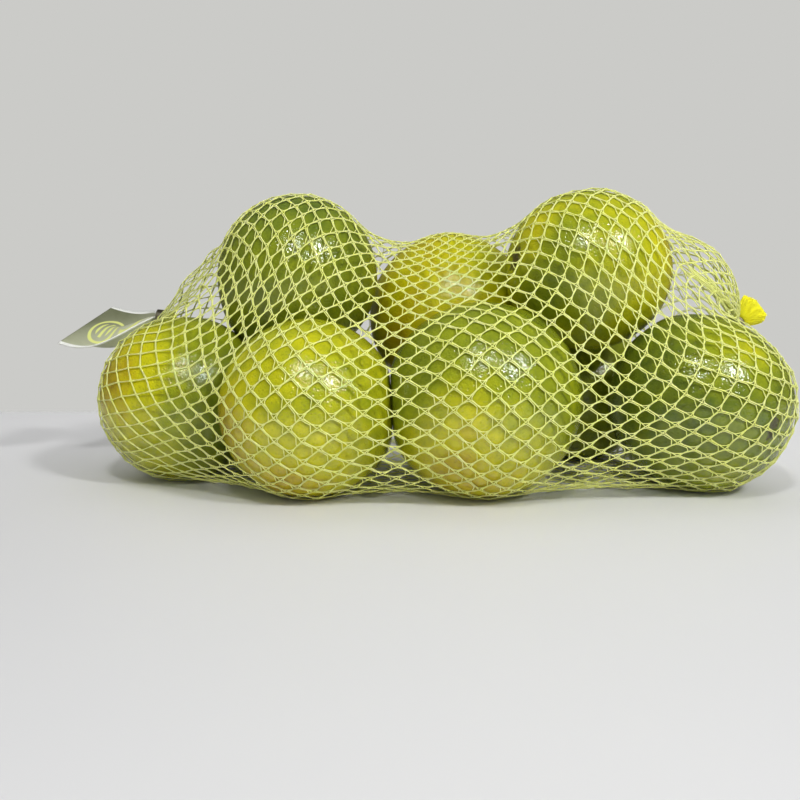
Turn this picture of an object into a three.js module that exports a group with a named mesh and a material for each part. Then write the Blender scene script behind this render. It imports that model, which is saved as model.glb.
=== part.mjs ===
// A net bag of oranges lying on its side: a knitted tube drawn over nine fruit and gathered at both ends.
// Millimetres, +Z up, X along the bag, its shown side towards -Y. The bag lies on the plane z = 0.
import * as THREE from "three";

// The fruit: centre in plan and radius, with the height of the centre for those that lie on others.
// The weight of the bag presses a small flat spot on those that lie on the floor.
const FLAT_SPOT_DEPTH = 1;
const FRUIT = [
  { x: -99.8, y: -6.8, radius: 35.8 },
  { x: -41.2, y: -41.6, radius: 35.85 },
  { x: 27.8, y: -41.2, radius: 39.2 },
  { x: 118.7, y: -28.7, radius: 36.5 },
  { x: -55, y: 50, radius: 35 },
  { x: 83.5, y: 38, radius: 35 },
  { x: -50.7, y: 6, z: 88.4, radius: 35.75 },
  { x: 19.4, y: 33, z: 70.4, radius: 39.4 },
  { x: 75.5, y: -9.5, z: 89.5, radius: 35 },
];

// The net stands off the peel by its own thickness, and bellies out round an empty pocket at each end.
const NET_STAND_OFF = 1;
const SLACK_POCKETS = [
  { x: 110, y: 2, z: 74, radius: 34 },
  { x: -92, y: 18, z: 77, radius: 15 },
];

// The tube of net: its facets, how hard it pulls round against along, how far a point sags under its weight
// and sinks between the fruit at each step of the drawing, and how many steps draw it tight.
const FACETS_ROUND = 60;
const FACETS_ALONG = 54;
const HOOP_PULL = 0.4;
const NET_SAG = 0.04;
const NET_SINK = 0.4;
const DRAWING_STEPS = 1600;
const LOOSE_TUBE = { middle: [5, 0, 62], half: [165, 110, 85] };

// The two gathers, where the net leaves the bag, and which way each points.
const LEFT_NECK = { at: [-116, 34, 69.5], out: [-1, 0, 0.1], radius: 2.6, length: 3 };
const RIGHT_NECK = { at: [146.7, 7, 66.5], out: [0.78, 0.1, 0.62], radius: 2, length: 4 };
const CLEARANCE = 0.3;

// The bands crimped round the gathers: wall thickness and length, and how far along the neck they start.
const CLIP_START = 1.2;
const TAIL_CLIP = { wall: 0.6, length: 2.6 };
const LABEL_CLIP = { wall: 0.8, length: 6 };

// The tuft of cut net beyond the right gather: a lobed fan, wider in the bag's length than across it, whose
// cut end is a share of its widest reach, with the rim between the two rounded over.
const TAIL_LENGTH = 9.5;
const TAIL_ROOT = 1.9;
const TAIL_SPREAD = 7;
const TAIL_THICKNESS = 5;
const TAIL_LOBES = 5;
const TAIL_LOBE_DEPTH = 0.12;
const TAIL_CUT_END = 0.5;
const TAIL_RIM_STEEPNESS = 3;
const TAIL_BELL_POWER = 1.5;
const TAIL_SIDES = 30;
const TAIL_RINGS = 8;

// The label: a card gripped in the left clip, its outer edge from the near to the far corner.
const LABEL_NEAR_CORNER = [-163, 12, 58.4];
const LABEL_FAR_CORNER = [-151.1, 52, 75.1];
const LABEL_GRIPPED_HALF_WIDTH = 2.2;
const LABEL_GRIPPED_SHARE = 0.15;
const LABEL_THICKNESS = 0.6;
const LABEL_FAN_POWER = 3;
const LABEL_SAG = 6.9;
const LABEL_FOLD = 3.2;
const LABEL_FOLD_TURN = 1.95 * Math.PI;
const LABEL_LEAD = 16;
const LABEL_STEPS_ALONG = 16;
const LABEL_STEPS_ACROSS = 12;

// The folds are deepest a third of the way out, where free * (1 - free) ** 2 is 4 / 27.
const FOLD_PEAK = 27 / 4;

const FLOOR = 0;
const UP = new THREE.Vector3(0, 0, 1);
const BACK = new THREE.Vector3(0, 1, 0);

const vector = (numbers) => new THREE.Vector3(...numbers);

// A ring of points round an axis, counted from the back towards the top, as seen along +X.
function ring(centre, axis, sides, radiusAt) {
  const back = BACK.clone().addScaledVector(axis, -BACK.dot(axis)).normalize();
  const top = axis.clone().cross(back);
  return Array.from({ length: sides }, (_, side) => {
    const angle = (2 * Math.PI * side) / sides;
    const [backReach, topReach] = radiusAt(angle);
    return centre.clone()
      .addScaledVector(back, backReach * Math.cos(angle))
      .addScaledVector(top, topReach * Math.sin(angle));
  });
}

const roundRing = (centre, axis, sides, radius) => ring(centre, axis, sides, () => [radius, radius]);

// A closed solid through rings that follow each other, with a point in the middle of each end.
function solidThroughRings(rings) {
  const sides = rings[0].length;
  const last = rings.length - 1;
  const middle = (points) => points.reduce((sum, p) => sum.add(p), new THREE.Vector3()).divideScalar(sides);
  const points = [...rings.flat(), middle(rings[0]), middle(rings[last])];
  const corner = (row, side) => row * sides + (side % sides);
  const faces = [];
  for (let side = 0; side < sides; side += 1) {
    for (let row = 0; row < last; row += 1) {
      const [a, b] = [corner(row, side), corner(row, side + 1)];
      const [c, d] = [corner(row + 1, side + 1), corner(row + 1, side)];
      faces.push(a, b, c, a, c, d);
    }
    faces.push(points.length - 2, corner(0, side + 1), corner(0, side));
    faces.push(points.length - 1, corner(last, side), corner(last, side + 1));
  }
  return new THREE.BufferGeometry().setFromPoints(points).setIndex(faces);
}

// A thin closed sheet: both faces of a surface point(along, across), each from 0 to 1, and its four edges.
function sheetSolid(point, stepsAlong, stepsAcross, thickness) {
  const columns = stepsAcross + 1;
  const small = 1e-3;
  const faces = [];
  const skins = [0.5, -0.5].map((side) => {
    const skin = [];
    for (let row = 0; row <= stepsAlong; row += 1) {
      for (let column = 0; column < columns; column += 1) {
        const [u, v] = [row / stepsAlong, column / stepsAcross];
        const alongStep = point(u + small, v).sub(point(u - small, v));
        const acrossStep = point(u, v + small).sub(point(u, v - small));
        const normal = alongStep.cross(acrossStep).normalize();
        skin.push(point(u, v).addScaledVector(normal, side * thickness));
      }
    }
    return skin;
  });
  const lower = skins[0].length;
  const wall = (from, to) => faces.push(from, from + lower, to + lower, from, to + lower, to);
  for (let row = 0; row < stepsAlong; row += 1) {
    for (let column = 0; column < stepsAcross; column += 1) {
      const a = row * columns + column;
      const [b, c, d] = [a + 1, a + columns + 1, a + columns];
      faces.push(a, d, c, a, c, b);
      faces.push(a + lower, c + lower, d + lower, a + lower, b + lower, c + lower);
    }
    wall(row * columns, (row + 1) * columns);
    wall((row + 2) * columns - 1, (row + 1) * columns - 1);
  }
  for (let column = 0; column < stepsAcross; column += 1) {
    wall(column + 1, column);
    wall(stepsAlong * columns + column, stepsAlong * columns + column + 1);
  }
  return new THREE.BufferGeometry().setFromPoints(skins.flat()).setIndex(faces);
}

// The loose tube before it is drawn tight: rings round an egg that holds all the fruit.
function looseRings() {
  const [middleX, middleY, middleZ] = LOOSE_TUBE.middle;
  const [halfX, halfY, halfZ] = LOOSE_TUBE.half;
  const along = new THREE.Vector3(1, 0, 0);
  const rings = [];
  for (let row = 1; row < FACETS_ALONG; row += 1) {
    const turn = (Math.PI * row) / FACETS_ALONG;
    const centre = new THREE.Vector3(middleX - halfX * Math.cos(turn), middleY, middleZ);
    const reach = [halfY * Math.sin(turn), halfZ * Math.sin(turn)];
    rings.push(ring(centre, along, FACETS_ROUND, () => reach));
  }
  return rings;
}

// The two rings of a neck: where it leaves the bag and where it ends.
function neckRings(neck, inwards) {
  const out = vector(neck.out).normalize();
  const axis = inwards ? out.clone().negate() : out;
  const root = vector(neck.at);
  const end = root.clone().addScaledVector(out, neck.length);
  return [root, end].map((centre) => roundRing(centre, axis, FACETS_ROUND, neck.radius));
}

// What holds the net out: each fruit with the net's thickness on it, and the slack pockets.
function holders() {
  const fruit = FRUIT.map(({ x, y, z, radius }) => ({
    centre: new THREE.Vector3(x, y, z ?? radius - FLAT_SPOT_DEPTH),
    radius: radius + NET_STAND_OFF,
  }));
  const pockets = SLACK_POCKETS.map(({ x, y, z, radius }) => ({
    centre: new THREE.Vector3(x, y, z),
    radius,
  }));
  return [...fruit, ...pockets];
}

// One point of the net is pushed out of whatever it has been drawn into, and up to the floor.
function pushOut(point, holding) {
  for (const { centre, radius } of holding) {
    const distance = point.distanceTo(centre);
    if (distance < radius) point.sub(centre).multiplyScalar(radius / distance).add(centre);
  }
  point.z = Math.max(point.z, FLOOR);
}

// One point of the net sinks towards the fruit that is nearest to it, so that each fruit stands out.
function sinkIn(point, holding) {
  const gap = ({ centre, radius }) => point.distanceTo(centre) - radius;
  const nearest = holding.reduce((best, ball) => (gap(ball) < gap(best) ? ball : best));
  const step = Math.min(NET_SINK, Math.max(0, gap(nearest)));
  point.addScaledVector(point.clone().sub(nearest.centre).normalize(), -step);
}

// The net is drawn tight: each point moves to the mean of its neighbours, which pull more along the tube than
// round it, sags a little and sinks in between the fruit.
function drawTight(rings) {
  const holding = holders();
  for (let step = 0; step < DRAWING_STEPS; step += 1) {
    const before = rings.map((points) => points.map((p) => p.clone()));
    for (let row = 1; row < rings.length - 1; row += 1) {
      rings[row].forEach((point, side) => {
        const left = before[row][(side + 1) % FACETS_ROUND];
        const right = before[row][(side + FACETS_ROUND - 1) % FACETS_ROUND];
        point.set(0, 0, 0)
          .add(before[row - 1][side]).add(before[row + 1][side])
          .addScaledVector(left, HOOP_PULL).addScaledVector(right, HOOP_PULL)
          .divideScalar(2 + 2 * HOOP_PULL);
        point.z -= NET_SAG;
        sinkIn(point, holding);
        pushOut(point, holding);
      });
    }
  }
  return rings;
}

// The filled net, from the end of the left neck to the end of the right one.
function filledNet() {
  const [leftRoot, leftEnd] = neckRings(LEFT_NECK, true);
  const [rightRoot, rightEnd] = neckRings(RIGHT_NECK, false);
  const drawn = drawTight([leftRoot, ...looseRings(), rightRoot]);
  return solidThroughRings([leftEnd, ...drawn, rightEnd]);
}

// A band crimped round a neck: a square-edged ring turned about the neck's axis.
function clip(neck, { wall, length }) {
  const inner = neck.radius + CLEARANCE;
  const outer = inner + wall;
  const section = [[inner, 0], [outer, 0], [outer, length], [inner, length], [inner, 0]];
  const turned = new THREE.LatheGeometry(section.map(([r, h]) => new THREE.Vector2(r, h)), FACETS_ROUND / 2);
  const out = vector(neck.out).normalize();
  turned.applyQuaternion(new THREE.Quaternion().setFromUnitVectors(BACK, out));
  const start = vector(neck.at).addScaledVector(out, CLIP_START);
  return turned.translate(start.x, start.y, start.z);
}

// The tuft of cut ends: rings that flare from the clip into a lobed fan, rounded over at its rim.
function netTail() {
  const out = vector(RIGHT_NECK.out).normalize();
  const root = vector(RIGHT_NECK.at).addScaledVector(out, RIGHT_NECK.length + CLEARANCE);
  const rings = [];
  for (let row = 0; row <= TAIL_RINGS; row += 1) {
    const turn = (Math.PI / 2) * (row / TAIL_RINGS);
    const rim = Math.min(1, TAIL_CUT_END + TAIL_RIM_STEEPNESS * Math.cos(turn));
    const flare = Math.sin(turn) * rim;
    const height = TAIL_LENGTH * (1 - Math.cos(turn) ** TAIL_BELL_POWER);
    const centre = root.clone().addScaledVector(out, height);
    rings.push(ring(centre, out, TAIL_SIDES, (angle) => {
      const lobes = 1 + TAIL_LOBE_DEPTH * flare * Math.cos(TAIL_LOBES * angle);
      const reach = (widest) => (TAIL_ROOT + (widest - TAIL_ROOT) * flare) * lobes;
      return [reach(TAIL_THICKNESS), reach(TAIL_SPREAD)];
    }));
  }
  return solidThroughRings(rings);
}

// The label's middle surface: it leaves the clip in line with it, fans out to its full width in soft folds
// that fade towards its outer edge, and sags a little on the way.
function labelPoint(along, across) {
  const out = vector(LEFT_NECK.out).normalize();
  const [near, far] = [vector(LABEL_NEAR_CORNER), vector(LABEL_FAR_CORNER)];
  const start = vector(LEFT_NECK.at).addScaledVector(out, LEFT_NECK.length + CLEARANCE);
  const lead = start.clone().addScaledVector(out, LABEL_LEAD);
  const middleLine = new THREE.QuadraticBezierCurve3(start, lead, near.clone().lerp(far, 0.5));
  const side = 2 * across - 1;
  const free = Math.max(0, (along - LABEL_GRIPPED_SHARE) / (1 - LABEL_GRIPPED_SHARE));
  const open = 1 - (1 - free) ** LABEL_FAN_POWER;
  const gripped = BACK.clone().multiplyScalar(LABEL_GRIPPED_HALF_WIDTH);
  const halfWidth = gripped.lerp(far.clone().sub(near).divideScalar(2), open);
  const folding = FOLD_PEAK * free * (1 - free) ** 2;
  const fold = LABEL_FOLD * folding * Math.cos(LABEL_FOLD_TURN * side);
  const sag = LABEL_SAG * Math.sin(Math.PI * free);
  return middleLine.getPoint(along).addScaledVector(halfWidth, side).addScaledVector(UP, fold - sag);
}

// One named piece with its own finish.
function piece(name, geometry, colour, roughness, metalness = 0) {
  const material = new THREE.MeshStandardMaterial({ color: colour, roughness, metalness });
  const mesh = new THREE.Mesh(geometry, material);
  mesh.name = name;
  geometry.computeVertexNormals();
  return mesh;
}

// The label's card.
function label() {
  return sheetSolid(labelPoint, LABEL_STEPS_ALONG, LABEL_STEPS_ACROSS, LABEL_THICKNESS);
}

const bag = new THREE.Group();
bag.add(
  piece("filled_net", filledNet(), 0x9ba33a, 0.45),
  piece("tail_clip", clip(RIGHT_NECK, TAIL_CLIP), 0x8f9092, 0.4, 0.9),
  piece("net_tail", netTail(), 0xe8e128, 0.5),
  piece("label_clip", clip(LEFT_NECK, LABEL_CLIP), 0xd8d8d4, 0.4, 0.9),
  piece("label", label(), 0x6a7062, 0.5),
);

// The bag's origin is the middle of the foot of its box.
const box = new THREE.Box3().setFromObject(bag);
const foot = box.getCenter(new THREE.Vector3());
bag.position.set(-foot.x, -foot.y, -box.min.z);

export default bag;
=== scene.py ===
"""A knitted net bag of green-yellow oranges, lying on its side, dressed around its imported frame.

Every new piece is a surface worked out with numpy: the fruit are uneven balls, the net is a diamond mesh
drawn tight over them, and the tail, the gathers and the card are profiles carried along a path. Lengths are
millimetres in the maker's frame (x along the bag, y away from the shown side, z up from the table); Bench
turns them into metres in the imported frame.
"""

import logging
from dataclasses import dataclass, field
from enum import Enum

import bpy
import numpy as np
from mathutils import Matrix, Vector


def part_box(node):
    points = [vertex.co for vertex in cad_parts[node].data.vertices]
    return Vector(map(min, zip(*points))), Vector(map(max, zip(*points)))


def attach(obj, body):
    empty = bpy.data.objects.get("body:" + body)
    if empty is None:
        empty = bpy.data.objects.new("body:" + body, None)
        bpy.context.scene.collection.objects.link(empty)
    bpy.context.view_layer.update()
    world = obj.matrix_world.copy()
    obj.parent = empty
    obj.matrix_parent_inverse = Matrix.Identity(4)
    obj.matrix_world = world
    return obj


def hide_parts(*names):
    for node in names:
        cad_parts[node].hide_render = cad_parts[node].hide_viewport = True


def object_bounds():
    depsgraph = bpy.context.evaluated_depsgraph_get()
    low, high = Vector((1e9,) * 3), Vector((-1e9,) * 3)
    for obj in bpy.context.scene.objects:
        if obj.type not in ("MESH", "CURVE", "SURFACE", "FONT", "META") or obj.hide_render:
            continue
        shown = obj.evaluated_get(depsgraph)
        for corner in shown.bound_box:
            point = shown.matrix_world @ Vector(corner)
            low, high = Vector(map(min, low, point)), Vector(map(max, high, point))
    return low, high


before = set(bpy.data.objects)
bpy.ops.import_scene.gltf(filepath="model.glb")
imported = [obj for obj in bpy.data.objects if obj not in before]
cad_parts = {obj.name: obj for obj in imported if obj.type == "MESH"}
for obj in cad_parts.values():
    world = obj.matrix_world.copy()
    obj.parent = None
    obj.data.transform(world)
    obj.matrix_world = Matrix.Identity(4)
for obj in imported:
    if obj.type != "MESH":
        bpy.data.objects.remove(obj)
CAD_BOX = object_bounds()

MM = 0.001
FULL_TURN = 2 * np.pi
BODY = "root"
LOG = logging.getLogger("net_bag")

Triple = tuple[float, float, float]
Colour = tuple[float, float, float]


class Slot(Enum):
    """The record's material slots."""

    PEEL = "peel"
    NET = "net"
    CLIP = "clip_metal"
    CARD = "label_card"


class NetPatch(Enum):
    """The four lengthwise quarters of the net, in order round the bag from the back."""

    BACK_TOP = "net_back_top"
    FRONT_TOP = "net_front_top"
    FRONT_FOOT = "net_front_foot"
    BACK_FOOT = "net_back_foot"


def unit(vectors: np.ndarray) -> np.ndarray:
    """Returns the vectors scaled to length one along their last axis."""
    length = np.linalg.norm(vectors, axis=-1, keepdims=True)
    return vectors / np.maximum(length, 1e-12)


def soft_stop(reach: np.ndarray, limit: float, blend: float) -> np.ndarray:
    """Holds a reach under a limit with a rounded corner: limit - blend * ln(1 + e^((limit - reach) / blend)).

    Args:
        reach: the free reach of each point.
        limit: the most that a point may reach.
        blend: the length over which the corner is rounded.

    Returns:
        The held reach of each point.
    """
    return limit - blend * np.logaddexp(0.0, (limit - reach) / blend)


def linear(red: int, green: int, blue: int) -> Colour:
    """Turns screen levels into the linear values that shaders take, by the sRGB curve.

    Args:
        red: the red level, 0 to 255.
        green: the green level, 0 to 255.
        blue: the blue level, 0 to 255.

    Returns:
        The linear colour.
    """
    share = np.array([red, green, blue]) / 255
    curve = np.where(share <= 0.04045, share / 12.92, ((share + 0.055) / 1.055) ** 2.4)
    return tuple(float(level) for level in curve)


@dataclass(frozen=True)
class Neck:
    """One gathered end of the net: where it starts, which way it points, how thick and how long it is."""

    at: Triple
    out: Triple
    radius: float
    length: float

    def axes(self) -> tuple[np.ndarray, np.ndarray, np.ndarray]:
        """Works out the neck's own directions.

        Returns:
            Unit vectors along the neck, square to it towards the back, and square to both.
        """
        along = unit(np.array(self.out, float))
        away = np.array([0.0, 1.0, 0.0])
        back = unit(away - along * (away @ along))
        return along, back, np.cross(along, back)

    def point(self, distance: float) -> np.ndarray:
        """Returns the point on the neck's axis at a distance from its start."""
        return np.array(self.at, float) + self.axes()[0] * distance

    def ring(self, turn: np.ndarray, distance: float, radius: float) -> np.ndarray:
        """Works out a circle round the axis: centre + radius * (cos turn * back + sin turn * upright).

        Args:
            turn: the angle of each point, from the back through the top.
            distance: how far along the axis the circle lies.
            radius: the circle's radius.

        Returns:
            One point for each angle.
        """
        _, back, upright = self.axes()
        upright = upright * np.sign(upright[2])
        rim = np.cos(turn)[..., None] * back + np.sin(turn)[..., None] * upright
        return self.point(distance) + radius * rim


LEFT_NECK = Neck(at=(-116, 34, 69.5), out=(-1, 0, 0.1), radius=2.6, length=3)
RIGHT_NECK = Neck(at=(146.7, 7, 66.5), out=(0.78, 0.1, 0.62), radius=2, length=4)
CLEARANCE = 0.3
CLIP_START = 1.2
TAIL_CLIP_LENGTH = 2.6


@dataclass
class Bench:
    """Turns millimetres in the maker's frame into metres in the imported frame."""

    shift: np.ndarray = field(default_factory=lambda: np.zeros(3))

    def __post_init__(self) -> None:
        """Finds the shift from the tail clip, whose middle is known in both frames."""
        low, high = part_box("tail_clip")
        middle = RIGHT_NECK.point(CLIP_START + TAIL_CLIP_LENGTH / 2)
        self.shift = np.array((low + high) / 2) - middle * MM

    def metres(self, places: np.ndarray) -> np.ndarray:
        """Returns places, given in millimetres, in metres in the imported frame."""
        return np.asarray(places, float) * MM + self.shift


BENCH = Bench()


@dataclass
class Shell:
    """Points, faces and point values that become one mesh."""

    places: np.ndarray
    faces: list[np.ndarray]
    values: dict[str, np.ndarray] = field(default_factory=dict)
    spread: np.ndarray | None = None

    @staticmethod
    def joined(shells: list["Shell"]) -> "Shell":
        """Joins shells into one, with each one's faces moved on by the points before it.

        Args:
            shells: the shells, which all carry the same point values.

        Returns:
            One shell with all their points, faces and values.
        """
        starts = np.cumsum([0] + [len(shell.places) for shell in shells[:-1]])
        names = list(shells[0].values)
        return Shell(
            places=np.concatenate([shell.places for shell in shells]),
            faces=[rows + start for shell, start in zip(shells, starts) for rows in shell.faces],
            values={name: np.concatenate([shell.values[name] for shell in shells]) for name in names},
        )

    def mesh(self, name: str) -> bpy.types.Mesh:
        """Puts the points and faces into a new smooth mesh, in metres.

        Args:
            name: the mesh's name.

        Returns:
            The mesh, with the values as point attributes and the spread as its UV map.
        """
        mesh = bpy.data.meshes.new(name)
        corners = np.concatenate([rows.ravel() for rows in self.faces])
        sizes = np.concatenate([np.full(len(rows), rows.shape[1]) for rows in self.faces])
        mesh.vertices.add(len(self.places))
        mesh.vertices.foreach_set("co", BENCH.metres(self.places).astype(np.float32).ravel())
        mesh.loops.add(len(corners))
        mesh.loops.foreach_set("vertex_index", corners.astype(np.int32))
        mesh.polygons.add(len(sizes))
        mesh.polygons.foreach_set("loop_start", (np.cumsum(sizes) - sizes).astype(np.int32))
        mesh.update(calc_edges=True)
        mesh.shade_smooth()
        for title, value in self.values.items():
            mesh.attributes.new(title, "FLOAT", "POINT").data.foreach_set("value", value.astype(np.float32))
        if self.spread is not None:
            layer = mesh.uv_layers.new(name="spread")
            layer.data.foreach_set("uv", self.spread[corners].astype(np.float32).ravel())
        return mesh

    def piece(self, name: str, finish: bpy.types.Material, slot: Slot, stands_for: str) -> bpy.types.Object:
        """Makes the shell a piece that rides on the bag and stands for a solid of the frame.

        Args:
            name: the piece's name.
            finish: its material.
            slot: the record's slot; not used.
            stands_for: the frame's node that it replaces.

        Returns:
            The new object.
        """
        thing = bpy.data.objects.new(name, self.mesh(name))
        thing.data.materials.append(finish)
        bpy.context.scene.collection.objects.link(thing)
        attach(thing, BODY)
        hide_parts(stands_for)
        LOG.info("%s: %d points, %d faces", name, len(thing.data.vertices), len(thing.data.polygons))
        return thing


def ball_shell(grid: np.ndarray, values: dict[str, np.ndarray]) -> Shell:
    """Closes a grid of rings from one pole to the other into a ball.

    Args:
        grid: points by ring and turn; the first and the last ring are each one point repeated.
        values: point values on the same grid.

    Returns:
        A shell with one point at each pole, triangles round the poles and quads between the rings.
    """
    rings, around = grid.shape[0] - 2, grid.shape[1]

    def flat(rows: np.ndarray) -> np.ndarray:
        """Returns the grid's rows as one list, with each pole once."""
        inner = rows[1:-1].reshape((rings * around,) + rows.shape[2:])
        return np.concatenate([rows[0, :1], inner, rows[-1, :1]])

    ring, turn = np.meshgrid(np.arange(rings), np.arange(around), indexing="ij")
    after = (turn + 1) % around
    here, beside = 1 + ring * around + turn, 1 + ring * around + after
    quads = np.stack([here[:-1], here[1:], beside[1:], beside[:-1]], -1).reshape(-1, 4)
    first = np.stack([np.zeros(around, int), here[0], beside[0]], -1)
    last = np.stack([here[-1], np.full(around, 1 + rings * around), beside[-1]], -1)
    return Shell(flat(grid), [quads, first, last], {name: flat(rows) for name, rows in values.items()})


def tube_shell(paths: np.ndarray, facing: np.ndarray, radius: np.ndarray, sides: int, closed: bool) -> Shell:
    """Carries a regular polygon along many paths at once.

    At each point the polygon's corners are centre + radius * (cos a * upright + sin a * sideways), where
    sideways is the facing crossed with the path's direction, and upright is the direction crossed with
    sideways.

    Args:
        paths: the centre lines, by path and point.
        facing: a vector at each point that isn't along the path.
        radius: the tube's radius at each point.
        sides: how many sides the polygon has.
        closed: whether each path is a ring; an open one gets a flat cap at each end.

    Returns:
        A shell with all the tubes.
    """
    count, length, _ = paths.shape
    if closed:
        ahead = np.roll(paths, -1, 1) - np.roll(paths, 1, 1)
    else:
        ahead = np.gradient(paths, axis=1)
    ahead = unit(ahead)
    sideways = unit(np.cross(facing, ahead))
    upright = np.cross(ahead, sideways)
    angle = FULL_TURN * (np.arange(sides) + 0.5) / sides
    rim = np.cos(angle)[:, None] * upright[:, :, None] + np.sin(angle)[:, None] * sideways[:, :, None]
    places = paths[:, :, None] + radius[:, :, None, None] * rim
    tube, step, side = np.meshgrid(
        np.arange(count), np.arange(length if closed else length - 1), np.arange(sides), indexing="ij"
    )
    onward, across = (step + 1) % length, (side + 1) % sides

    def corner(point: np.ndarray, number: np.ndarray) -> np.ndarray:
        """Returns the index of a numbered corner of the polygon at a point of its path."""
        return (tube * length + point) * sides + number

    quads = [corner(step, side), corner(onward, side), corner(onward, across), corner(step, across)]
    faces = [np.stack(quads, -1).reshape(-1, 4)]
    if not closed:
        start = np.arange(count)[:, None] * length * sides + np.arange(sides)
        faces += [start, (start + (length - 1) * sides)[:, ::-1]]
    return Shell(places.reshape(-1, 3), faces)


class Board:
    """A node tree with short ways to add nodes and join them."""

    def __init__(self, tree: bpy.types.NodeTree) -> None:
        """Takes the tree that the nodes go into."""
        self.tree = tree

    def add(self, kind: str, **settings: object) -> bpy.types.Node:
        """Adds a node.

        Args:
            kind: the node's type name.
            settings: node settings by name.

        Returns:
            The node.
        """
        node = self.tree.nodes.new(kind)
        for name, value in settings.items():
            setattr(node, name, value)
        return node

    def feed(self, target: bpy.types.NodeSocket, source: object) -> None:
        """Joins a socket to the target, or sets the target where the source is a plain value.

        Args:
            target: the input socket.
            source: an output socket, or a value.
        """
        if isinstance(source, bpy.types.NodeSocket):
            self.tree.links.new(source, target)
        else:
            target.default_value = source

    def sum(self, operation: str, *terms: object, clamp: bool = False) -> bpy.types.NodeSocket:
        """Adds a Math node.

        Args:
            operation: the node's operation.
            terms: sockets or numbers.
            clamp: whether the result is held between 0 and 1.

        Returns:
            The result.
        """
        node = self.add("ShaderNodeMath", operation=operation, use_clamp=clamp)
        for socket, term in zip(node.inputs, terms):
            self.feed(socket, term)
        return node.outputs[0]

    def span(
        self, value: object, low: float, high: float, to_low: float, to_high: float
    ) -> bpy.types.NodeSocket:
        """Adds a Map Range node that is smooth at both ends.

        Args:
            value: the socket or number that is mapped.
            low: where the range starts.
            high: where the range ends.
            to_low: the result at the start.
            to_high: the result at the end.

        Returns:
            The result.
        """
        node = self.add("ShaderNodeMapRange", interpolation_type="SMOOTHSTEP")
        for socket, term in zip(node.inputs, (value, low, high, to_low, to_high)):
            self.feed(socket, term)
        return node.outputs[0]

    def blend(self, share: object, under: object, over: object) -> bpy.types.NodeSocket:
        """Adds a colour Mix node.

        Args:
            share: how much of the second colour shows, a socket or a number.
            under: the first colour, a socket or a linear triple.
            over: the second colour, likewise.

        Returns:
            The mixed colour.
        """
        node = self.add("ShaderNodeMix", data_type="RGBA")
        self.feed(node.inputs[0], share)
        for socket, colour in ((node.inputs[6], under), (node.inputs[7], over)):
            self.feed(socket, (*colour, 1.0) if isinstance(colour, tuple) else colour)
        return node.outputs[2]

    def ramp(self, share: object, stops: dict[float, Colour]) -> bpy.types.NodeSocket:
        """Adds a colour ramp.

        Args:
            share: the socket or number that picks the colour.
            stops: the colours by their place on the ramp.

        Returns:
            The picked colour.
        """
        node = self.add("ShaderNodeValToRGB")
        elements = node.color_ramp.elements
        while len(elements) < len(stops):
            elements.new(1.0)
        for element, (place, colour) in zip(elements, sorted(stops.items())):
            element.position = place
            element.color = (*colour, 1.0)
        self.feed(node.inputs[0], share)
        return node.outputs[0]

    def noise(self, where: object, scale: object, detail: float) -> bpy.types.NodeSocket:
        """Adds a noise texture.

        Args:
            where: the coordinates that it reads.
            scale: its scale, a socket or a number.
            detail: how many finer layers it has.

        Returns:
            The noise value.
        """
        node = self.add("ShaderNodeTexNoise")
        self.feed(node.inputs["Vector"], where)
        self.feed(node.inputs["Scale"], scale)
        self.feed(node.inputs["Detail"], detail)
        return node.outputs[0]

    def here(self) -> bpy.types.NodeSocket:
        """Returns the object's own coordinates, in metres."""
        return self.add("ShaderNodeTexCoord").outputs["Object"]

    def value_of(self, name: str) -> bpy.types.NodeSocket:
        """Returns a point attribute's value."""
        return self.add("ShaderNodeAttribute", attribute_name=name).outputs["Fac"]


def per_mm(spacing: float) -> float:
    """Returns the texture scale whose features are a spacing, in millimetres, apart."""
    return 1.0 / (spacing * MM)


def mottle_group() -> bpy.types.NodeTree:
    """Builds, once, the group that finishes use for uneven colour: coarse and fine noise, mixed and spread.

    Returns:
        A group from Vector, Scale and Contrast to Mottle, which is 0.5 on average.
    """
    name = "mottle"
    coarse_detail, coarse_share = 2.0, 0.7
    fine_detail, fine_share, fine_scale = 3.0, 0.3, 5.0
    middle = 0.5
    if name in bpy.data.node_groups:
        return bpy.data.node_groups[name]
    tree = bpy.data.node_groups.new(name, "ShaderNodeTree")
    tree.interface.new_socket("Vector", in_out="INPUT", socket_type="NodeSocketVector")
    for title, start in (("Scale", 100.0), ("Contrast", 1.0)):
        tree.interface.new_socket(title, in_out="INPUT", socket_type="NodeSocketFloat").default_value = start
    tree.interface.new_socket("Mottle", in_out="OUTPUT", socket_type="NodeSocketFloat")
    board = Board(tree)
    given, made = board.add("NodeGroupInput"), board.add("NodeGroupOutput")
    where, scale = given.outputs["Vector"], given.outputs["Scale"]
    coarse = board.noise(where, scale, coarse_detail)
    fine = board.noise(where, board.sum("MULTIPLY", scale, fine_scale), fine_detail)
    shares = ((coarse, coarse_share), (fine, fine_share))
    both = board.sum("ADD", *(board.sum("MULTIPLY", value, share) for value, share in shares))
    centred = board.sum("MULTIPLY", board.sum("SUBTRACT", both, middle), given.outputs["Contrast"])
    board.feed(made.inputs["Mottle"], board.sum("ADD", centred, middle, clamp=True))
    return tree


def mottle(board: Board, where: object, spacing: float, contrast: float) -> bpy.types.NodeSocket:
    """Places the mottle group on a board.

    Args:
        board: the material's board.
        where: the coordinates that the pattern reads.
        spacing: how far apart the coarse patches are, in millimetres.
        contrast: how strongly the value swings about one half.

    Returns:
        The mottle value.
    """
    node = board.add("ShaderNodeGroup", node_tree=mottle_group())
    board.feed(node.inputs["Vector"], where)
    board.feed(node.inputs["Scale"], per_mm(spacing))
    board.feed(node.inputs["Contrast"], contrast)
    return node.outputs["Mottle"]


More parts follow.
